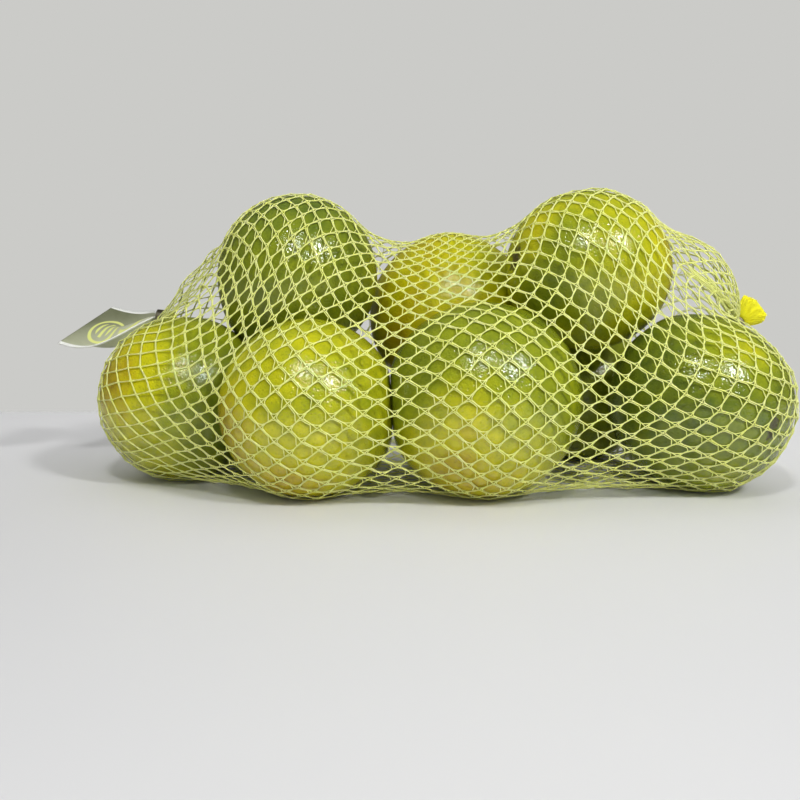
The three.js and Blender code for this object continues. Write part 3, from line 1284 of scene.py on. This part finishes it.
    def fold_strands(self) -> tuple[np.ndarray, np.ndarray]:
        """Works out the filaments of the fold, spread to both sides of its line and gathered at the neck.

        Returns:
            The centre lines by strand and point, and the facing at each point.
        """
        draw = np.random.default_rng(self.seed + 2)
        first = draw.uniform(0.0, self.fold_stagger, (self.fold_filaments, 1))
        share = first + (1 - first) * np.linspace(0, 1, self.fold_points)[None]
        pace = self.fold_ripple_pace
        ripple = self.fold_ripple * np.sin(pace * share + FULL_TURN * first * pace)
        side = draw.normal(0, self.fold_scatter, (self.fold_filaments, 1)) + ripple
        out = unit(np.array(self.fold_facing))
        across = unit(np.cross(np.array(RIGHT_NECK.at) - np.array(self.fold_start), out))
        width = self.fold_neck_half + (self.fold_half_width - self.fold_neck_half) * (1 - share)
        depth = draw.uniform(-self.fold_depth, self.fold_depth, (self.fold_filaments, 1)) + 0 * share
        line = self.fold_point(share) + (side * width)[..., None] * across + depth[..., None] * out
        return line, np.broadcast_to(out, line.shape)

    def cells(self, grid: np.ndarray) -> np.ndarray:
        """Picks the four knots of every cell.

        Args:
            grid: a value for each knot, by row and place round the tube.

        Returns:
            The values by cell row, place round the tube and corner: left, plus, right, minus.
        """
        even, odd = grid[0::2], grid[1::2]
        on_even = np.stack([even[:-1], odd, even[1:], np.roll(odd, 1, 1)], 2)
        on_odd = np.stack([odd[:-1], np.roll(even[1:-1], -1, 1), odd[1:], even[1:-1]], 2)
        picked = np.empty((self.rows - 2,) + on_even.shape[1:])
        picked[0::2], picked[1::2] = on_even, on_odd
        return picked

    def facings(self, knots: np.ndarray) -> np.ndarray:
        """Returns each cell's outward facing: its long diagonal crossed with the one round the tube."""
        left, plus, right, minus = np.moveaxis(self.cells(knots), 2, 0)
        return unit(np.cross(plus - minus, right - left))

    def openness(self, places: np.ndarray) -> np.ndarray:
        """Works out how open the knit is, rising along x from the tight left end to one.

        Args:
            places: the places on the net.

        Returns:
            The openness at each place.
        """
        low, high = self.tight_end
        share = np.clip((places[..., 0] - low) / (high - low), 0, 1)
        return self.tight_share + (1 - self.tight_share) * share**2 * (3 - 2 * share)

    def cell_loops(self, knots: np.ndarray) -> tuple[np.ndarray, np.ndarray]:
        """Works out one filament round the inside of every cell.

        Along each side it runs a small inset in from the line between the knots, wider at the ends, and cuts
        each corner, most of all the right one, so that small openings are left round every knot.

        Args:
            knots: the knots of the net.

        Returns:
            The centre lines by cell and point, and the facing at each point.
        """
        corners = self.cells(knots)
        facing = self.facings(knots)
        start, end = corners, np.roll(corners, -1, 2)
        open_here = self.openness(corners.mean(2))[..., None, None]
        cut, corner, side = map(np.array, (self.corner_cut, self.corner_inset, self.side_inset))
        first, last = cut * open_here[..., 0], np.roll(cut, -1) * open_here[..., 0]
        share = np.stack([first, *(bend + 0 * first for bend in self.side_bends), 1 - last], -1)
        inset = np.stack([corner, side, side, np.roll(corner, -1)], -1) * open_here
        inward = unit(np.cross(facing[:, :, None], end - start))
        line = start[..., None, :] + (end - start)[..., None, :] * share[..., None]
        line = line + inward[..., None, :] * inset[..., None]
        count = (self.rows - 2) * self.around
        line = line.reshape(count, -1, 3)
        shake = np.random.default_rng(self.seed).normal(0, self.shake, line.shape)
        line = self.push_out(line + shake, self.filament + self.skin_gap)
        return line, np.repeat(facing.reshape(count, 1, 3), line.shape[1], 1)

    def running_strands(self, knots: np.ndarray, way: int) -> tuple[np.ndarray, np.ndarray]:
        """Works out the filaments that run from end to end through the knots, always turning the same way.

        Between two knots a filament sways to one side as sway * sin(pi * share); at the knots it lies on top.

        Args:
            knots: the knots of the net.
            way: 1 for those that turn the plus way, -1 for those that turn the minus way.

        Returns:
            The centre lines by strand and point, and the facing at each point.
        """
        row = np.arange(self.rows)
        step = row // 2 if way > 0 else -((row + 1) // 2)
        place = (np.arange(self.around)[:, None] + step[None]) % self.around
        path = knots[row[None], place]
        cell = self.facings(knots)
        full = np.concatenate([cell[:1], cell, cell[-1:]])
        facing = full[row[None], place]
        points = self.points_a_strand
        share = np.arange(points) / points
        line = path[:, :-1, None] * (1 - share[:, None]) + path[:, 1:, None] * share[:, None]
        line = np.concatenate([line.reshape(self.around, -1, 3), path[:, -1:]], 1)
        facing = np.concatenate([np.repeat(facing[:, :-1], points, 1), facing[:, -1:]], 1)
        phase = np.arange(line.shape[1]) / points % 1
        aside = unit(np.cross(facing, np.gradient(line, axis=1)))
        reach = self.sway * (1 if way > 0 else self.minus_sway)
        sway = reach * self.openness(line) * np.sin(np.pi * phase)
        over = self.filament * (1 + np.cos(FULL_TURN * phase)) / 2
        line = line + aside * sway[..., None] + facing * over[:, None]
        return self.push_out(line, self.filament + self.skin_gap), facing

    def tubes(self, lines: np.ndarray, facing: np.ndarray, closed: bool) -> Shell:
        """Returns the filaments along some centre lines, all of one thickness."""
        return tube_shell(lines, facing, np.full(lines.shape[:2], self.filament), self.sides, closed)

    def build(self) -> None:
        """Makes the net in four lengthwise quarters."""
        knots = self.draw_tight()
        stray = np.random.default_rng(self.seed + 1).normal(0, self.wander, knots[1:-1].shape)
        knots[1:-1] = self.push_out(self.fold_in(knots[1:-1] + stray), self.stand_off)
        loops, loop_facing = self.cell_loops(knots)
        families = [self.running_strands(knots, way) for way in (1, -1)]
        column = np.tile(np.arange(self.around), self.rows - 2)
        quarter = self.around // len(NetPatch)
        for number, patch in enumerate(NetPatch):
            mine = column // quarter == number
            own = slice(number * quarter, (number + 1) * quarter)
            parts = [self.tubes(loops[mine], loop_facing[mine], True)]
            parts += [self.tubes(strands[own], facing[own], False) for strands, facing in families]
            if patch is NetPatch.FRONT_TOP:
                parts.append(self.tubes(*self.fold_strands(), False))
            Shell.joined(parts).piece(patch.value, NetFinish().material(), Slot.NET, "filled_net")


@dataclass
class Gathers:
    """The two short bundles where the net is gathered through its clips."""

    flutes: int = 22
    flute_depth: float = 0.07
    reach_in: float = 2.0
    inset: float = 0.1
    end_power: int = 8
    around: int = 88
    rings: int = 10

    def shell(self, neck: Neck, past: float) -> Shell:
        """Carries a fluted circle along a neck and rounds it off at both ends.

        The radius is the neck's own * (1 - depth * (1 + cos(flutes * turn)) / 2), falling to nothing at the
        ends as the square root of 1 - (2 share - 1)^power.

        Args:
            neck: the neck that it follows.
            past: how far past the neck's start it reaches.

        Returns:
            The closed bundle.
        """
        share = np.linspace(0, 1, self.rings + 1)[:, None]
        turn = -FULL_TURN * np.arange(self.around)[None] / self.around
        girth = (neck.radius - self.inset) * np.sqrt(1 - (2 * share - 1) ** self.end_power)
        girth = girth * (1 - self.flute_depth * (1 + np.cos(self.flutes * turn)) / 2)
        along, back, upright = neck.axes()
        travel = -self.reach_in + (past + self.reach_in) * share
        grid = np.array(neck.at) + (travel + 0 * turn)[..., None] * along
        grid = grid + girth[..., None] * (np.cos(turn)[..., None] * back + np.sin(turn)[..., None] * upright)
        return ball_shell(grid[::-1], {})

    def build(self) -> None:
        """Makes both bundles."""
        for name, neck in (("left_gather", LEFT_NECK), ("right_gather", RIGHT_NECK)):
            self.shell(neck, neck.length).piece(name, TailFinish().material(), Slot.NET, "filled_net")


@dataclass
class NetTail:
    """The tuft of cut strands past the tail clip: a lobed bell with loose filaments over it."""

    length: float = 9.5
    root: float = 1.9
    spread: float = 7.0
    thickness: float = 5.0
    lobes: int = 5
    lobe_depth: float = 0.1
    cut_end: float = 0.5
    rim_steepness: float = 3.0
    bell_power: float = 1.5
    around: int = 90
    rings: int = 24
    pleats: int = 18
    pleat_depth: float = 0.014
    pleat_twist: float = 3.0
    core_share: float = 0.94
    filaments: int = 120
    filament: float = 0.17
    filament_reach: tuple[float, float] = (0.72, 1.0)
    filament_twist: float = 0.35
    filament_stray: tuple[float, float] = (-0.03, 0.1)
    filament_points: int = 9
    filament_sides: int = 4
    seed: int = 5

    def bell(self, lean: np.ndarray, turn: np.ndarray, scale: np.ndarray) -> np.ndarray:
        """Works out points of the bell.

        With the lean from 0 at the root to a quarter turn at the rim, the flare is sin lean * min(1, cut end
        + steepness * cos lean) and the height is length * (1 - cos lean ^ power); across, it reaches from the
        root's radius to the thickness at the back and to the spread at the top, each times 1 + lobe depth *
        flare * cos(lobes * turn).

        Args:
            lean: the lean of each point.
            turn: the angle of each point round the bell.
            scale: how far out each point lies, as a share of the bell.

        Returns:
            The points.
        """
        along, back, upright = RIGHT_NECK.axes()
        base = RIGHT_NECK.point(RIGHT_NECK.length + CLEARANCE)
        flare = np.sin(lean) * np.minimum(1, self.cut_end + self.rim_steepness * np.cos(lean))
        height = self.length * (1 - np.maximum(np.cos(lean), 0) ** self.bell_power)
        lobed = scale * (1 + self.lobe_depth * flare * np.cos(self.lobes * turn))
        far_back = (self.root + (self.thickness - self.root) * flare) * lobed * np.cos(turn)
        far_up = (self.root + (self.spread - self.root) * flare) * lobed * np.sin(turn)
        return base + height[..., None] * along + far_back[..., None] * back + far_up[..., None] * upright

    def core_shell(self) -> Shell:
        """Works out the pleated core: the bell, drawn in by pleats that run along it.

        Returns:
            The core, closed at both ends.
        """
        lean = np.linspace(0, np.pi / 2, self.rings + 1)[:, None]
        turn = FULL_TURN * np.arange(self.around)[None] / self.around
        pleated = np.cos(self.pleats * turn + self.pleat_twist * lean)
        drawn = self.core_share - self.pleat_depth * (1 + pleated) / 2
        grid = self.bell(lean + 0 * turn, turn + 0 * lean, drawn)
        first, last = grid[:1].mean(1, keepdims=True), grid[-1:].mean(1, keepdims=True)
        ones = np.ones((1, self.around, 1))
        closed = np.concatenate([first * ones, grid, last * ones])
        return ball_shell(closed[::-1], {})

    def filament_shell(self) -> Shell:
        """Works out the loose filaments, which follow the bell at seeded turns and stray from it at the rim.

        Returns:
            All the filaments, as closed tubes.
        """
        draw = np.random.default_rng(self.seed)
        count, points = self.filaments, self.filament_points
        stop = draw.uniform(*self.filament_reach, (count, 1)) * np.pi / 2
        lean = np.linspace(0, 1, points)[None] * stop
        turn = draw.uniform(0, FULL_TURN, (count, 1)) + draw.normal(0, self.filament_twist, (count, 1)) * lean
        scale = 1 + draw.uniform(*self.filament_stray, (count, 1)) * (lean / stop) ** 2
        line = self.bell(lean, turn, scale)
        facing = unit(line - self.bell(lean, turn, scale * 0.5))
        return tube_shell(line, facing, np.full(line.shape[:2], self.filament), self.filament_sides, False)

    def build(self) -> None:
        """Makes the core and its filaments."""
        self.core_shell().piece("tail_core", TailFinish().material(), Slot.NET, "net_tail")
        self.filament_shell().piece("tail_filaments", TailFinish().material(), Slot.NET, "net_tail")


@dataclass
class CardLabel:
    """The printed card that is gripped by the left clip: a fan that curls as it opens."""

    near_corner: Triple = (-163, 12, 58.4)
    far_corner: Triple = (-151.1, 52, 75.1)
    gripped_half_width: float = 2.2
    gripped_share: float = 0.15
    thickness: float = 0.6
    fan_power: float = 3.0
    sag: float = 6.9
    fold: float = 3.2
    fold_turn: float = 1.95 * np.pi
    lead: float = 16.0
    along: int = 64
    across: int = 40

    def middle(self, along: np.ndarray, across: np.ndarray) -> np.ndarray:
        """Works out the card's middle surface.

        A curved line leads from the clip to the middle of the free end; the card opens from the gripped width
        to the free end's width as 1 - (1 - free)^power, sags as a sine along its length, and folds up and
        down across its width as free * (1 - free)^2 * cos(fold turn * side).

        Args:
            along: shares from the clip to the free end.
            across: shares across the card.

        Returns:
            The points of the surface.
        """
        out = LEFT_NECK.axes()[0]
        start = LEFT_NECK.point(LEFT_NECK.length + CLEARANCE)
        lead = start + out * self.lead
        near, far = np.array(self.near_corner), np.array(self.far_corner)
        share = along[..., None]
        line = start * (1 - share) ** 2 + 2 * lead * share * (1 - share) + (near + far) / 2 * share**2
        side = 2 * across - 1
        free = np.maximum(0, (along - self.gripped_share) / (1 - self.gripped_share))
        opened = (1 - (1 - free) ** self.fan_power)[..., None]
        gripped = np.array([0.0, self.gripped_half_width, 0.0])
        half = gripped * (1 - opened) + (far - near) / 2 * opened
        peak = 27 / 4
        rise = self.fold * peak * free * (1 - free) ** 2 * np.cos(self.fold_turn * side)
        rise = rise - self.sag * np.sin(np.pi * free)
        return line + half * side[..., None] + rise[..., None] * np.array([0.0, 0.0, 1.0])

    def shell(self) -> Shell:
        """Carries a flat closed section, both faces and two edges, from the clip to the free end.

        Returns:
            The closed card, with its shares along and across as its spread.
        """
        share = np.linspace(0, 1, self.along + 1)
        over = np.linspace(0, 1, self.across + 1)
        section = np.concatenate([over, over[::-1]])
        along, across = np.meshgrid(share, section, indexing="ij")
        places = self.middle(along, across)
        step = 1e-3
        ahead = self.middle(along + step, across) - self.middle(along - step, across)
        aside = self.middle(along, across + step) - self.middle(along, across - step)
        facing = unit(np.cross(ahead, aside))
        face = np.where(np.arange(len(section)) <= self.across, 1.0, -1.0)[None, :, None]
        grid = places + facing * face * self.thickness / 2
        rows, round_ = grid.shape[:2]
        row, turn = np.meshgrid(np.arange(rows - 1), np.arange(round_), indexing="ij")
        after = (turn + 1) % round_
        here, beyond = row * round_, (row + 1) * round_
        quads = np.stack([here + turn, beyond + turn, beyond + after, here + after], -1).reshape(-1, 4)
        first = np.arange(self.across)
        start_cap = np.stack([first, first + 1, round_ - 2 - first, round_ - 1 - first], -1)
        end_cap = (start_cap + (rows - 1) * round_)[:, ::-1]
        spread = np.stack([along, across], -1).reshape(-1, 2)
        return Shell(grid.reshape(-1, 3), [quads, start_cap, end_cap], {}, spread)

    def build(self) -> None:
        """Makes the card."""
        self.shell().piece("label_sheet", CardFinish().material(), Slot.CARD, "label")


@dataclass
class Clips:
    """The two pressed bands, whose solids in the frame have the right shape and only need their metal."""

    nodes: tuple[str, ...] = ("tail_clip", "label_clip")

    def build(self) -> None:
        """Gives each band its finish."""
        for name in self.nodes:
            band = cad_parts[name]
            band.data.materials.clear()
            band.data.materials.append(ClipFinish().material())
            LOG.info("%s: dressed in place", name)


@dataclass(frozen=True)
class FloorFinish(Finish):
    """A white table top with painted light that lightens it towards the back; it fades out at its far edge.
    """

    name: str = "table_white"
    far_edge: float = 223.0
    fade: float = 26.0
    tone_spacing: float = 260.0
    tone_contrast: float = 0.6
    dullness: tuple[float, float] = (0.5, 0.6)
    near_dim: Colour = linear(209, 209, 211)
    near_light: Colour = linear(216, 216, 217)
    painted_light_back: Colour = linear(250, 250, 252)

    def dress(self, board: Board, shader: bpy.types.Node) -> None:
        """Keeps a faint unevenness in the white, paints light on it that grows towards the back, and fades
        the far edge away.

        Args:
            board: the material's board.
            shader: its Principled shader.
        """
        where = board.here()
        tone = mottle(board, where, self.tone_spacing, self.tone_contrast)
        parts = board.add("ShaderNodeSeparateXYZ")
        board.feed(parts.inputs[0], where)
        edge = self.far_edge * MM
        near = board.blend(tone, self.near_dim, self.near_light)
        # painted light: the white grows lighter towards the back of the table
        back = board.span(parts.outputs[1], -edge, edge, 0.0, 1.0)
        board.feed(shader.inputs["Base Color"], board.blend(back, near, self.painted_light_back))
        board.feed(shader.inputs["Roughness"], board.span(tone, 0.0, 1.0, *self.dullness))
        shown = board.span(parts.outputs[1], edge - self.fade * MM, edge, 1.0, 0.0)
        board.feed(shader.inputs["Alpha"], shown)


@dataclass
class Studio:
    """The table, the lamps, the pale room and the camera.

    Each lamp is a place, a width in metres and a power in watts: two small ones that give the peel its
    highlights, then a broad panel above, one in front and one behind, which nothing mirrors. The drop is the
    slope at which the camera looks down.
    """

    eye: Triple = (-5, -358, 75)
    lens: float = 36.0
    sensor: float = 36.0
    drop: float = 93 / 800
    nearest: float = 0.01
    table_half: float = 2600.0
    table_cells: int = 8
    lamps: tuple[tuple[Triple, float, float], ...] = (
        ((-37, -406, 490), 0.06, 1.05),
        ((453, -524, 573), 0.09, 3.2),
        ((260, -700, 2046), 5.0, 20.0),
        ((300, -1500, 500), 2.6, 3.8),
        ((-50, 900, 1100), 2.2, 6.5),
    )
    room: Colour = linear(203, 203, 200)
    room_light: float = 0.21
    room_gloss: float = 0.42
    mirrored_size: float = 0.5

    def table(self) -> None:
        """Makes the table top as a flat grid that lies just under the bag."""
        near, far = -self.table_half, FloorFinish().far_edge + FloorFinish().fade
        wide = self.table_cells + 1
        x, y = np.meshgrid(np.linspace(-self.table_half, self.table_half, wide), np.linspace(near, far, wide))
        places = np.stack([x, y, np.zeros_like(x)], -1).reshape(-1, 3)
        row, column = np.meshgrid(np.arange(self.table_cells), np.arange(self.table_cells), indexing="ij")
        corner = row * wide + column
        quads = np.stack([corner, corner + 1, corner + wide + 1, corner + wide], -1).reshape(-1, 4)
        top = bpy.data.objects.new("table_top", Shell(places, [quads]).mesh("table_top"))
        top.data.materials.append(FloorFinish().material())
        bpy.context.scene.collection.objects.link(top)

    def lights(self) -> None:
        """Hangs the lamps, each facing the bag's middle; only the small ones show in what is glossy."""
        low, high = CAD_BOX
        middle = (low + high) / 2
        for number, (place, size, power) in enumerate(self.lamps, 1):
            lamp = bpy.data.lights.new(f"lamp_{number}", "AREA")
            lamp.shape = "SQUARE"
            lamp.size = size
            lamp.energy = power
            panel = bpy.data.objects.new(lamp.name, lamp)
            panel.location = Vector(BENCH.metres(np.array(place)))
            panel.visible_glossy = size < self.mirrored_size
            panel.rotation_euler = (panel.location - middle).to_track_quat("Z", "Y").to_euler()
            bpy.context.scene.collection.objects.link(panel)

    def surround(self) -> None:
        """Lights the room evenly: the camera sees the wall's tone, and surfaces get its soft light."""
        world = bpy.data.worlds.new("room")
        bpy.context.scene.world = world
        world.use_nodes = True
        board = Board(world.node_tree)
        back = next(node for node in world.node_tree.nodes if node.type == "BACKGROUND")
        back.inputs["Color"].default_value = (*self.room, 1.0)
        path = board.add("ShaderNodeLightPath")
        level = self.room_light / self.room[1]
        gloss = board.span(path.outputs["Is Glossy Ray"], 0.0, 1.0, level, level * self.room_gloss)
        straight = board.sum("MAXIMUM", path.outputs["Is Camera Ray"], path.outputs["Is Transmission Ray"])
        seen = board.sum("MULTIPLY", straight, board.sum("SUBTRACT", 1.0, gloss))
        board.feed(back.inputs["Strength"], board.sum("ADD", gloss, seen))

    def camera(self) -> None:
        """Sets the camera at the eye, level across and looking slightly down along the bag's depth."""
        lens = bpy.data.cameras.new("camera")
        lens.lens, lens.sensor_width = self.lens, self.sensor
        lens.clip_start = self.nearest
        eye = bpy.data.objects.new("camera", lens)
        eye.location = Vector(BENCH.metres(np.array(self.eye)))
        eye.rotation_euler = (np.pi / 2 - np.arctan(self.drop), 0.0, 0.0)
        bpy.context.scene.collection.objects.link(eye)
        bpy.context.scene.camera = eye

    def build(self) -> None:
        """Sets up the whole studio with plain, unstyled colour."""
        bpy.context.scene.view_settings.view_transform = "Standard"
        self.table()
        self.lights()
        self.surround()
        self.camera()


def main() -> None:
    """Builds the bag's sub-assemblies in order and sets the studio round them."""
    logging.basicConfig(level=logging.INFO, format="%(message)s")
    pile = FruitPile()
    pile.build()
    KnittedNet(pile).build()
    Gathers().build()
    NetTail().build()
    CardLabel().build()
    Clips().build()
    Studio().build()


if __name__ == "__main__":
    main()
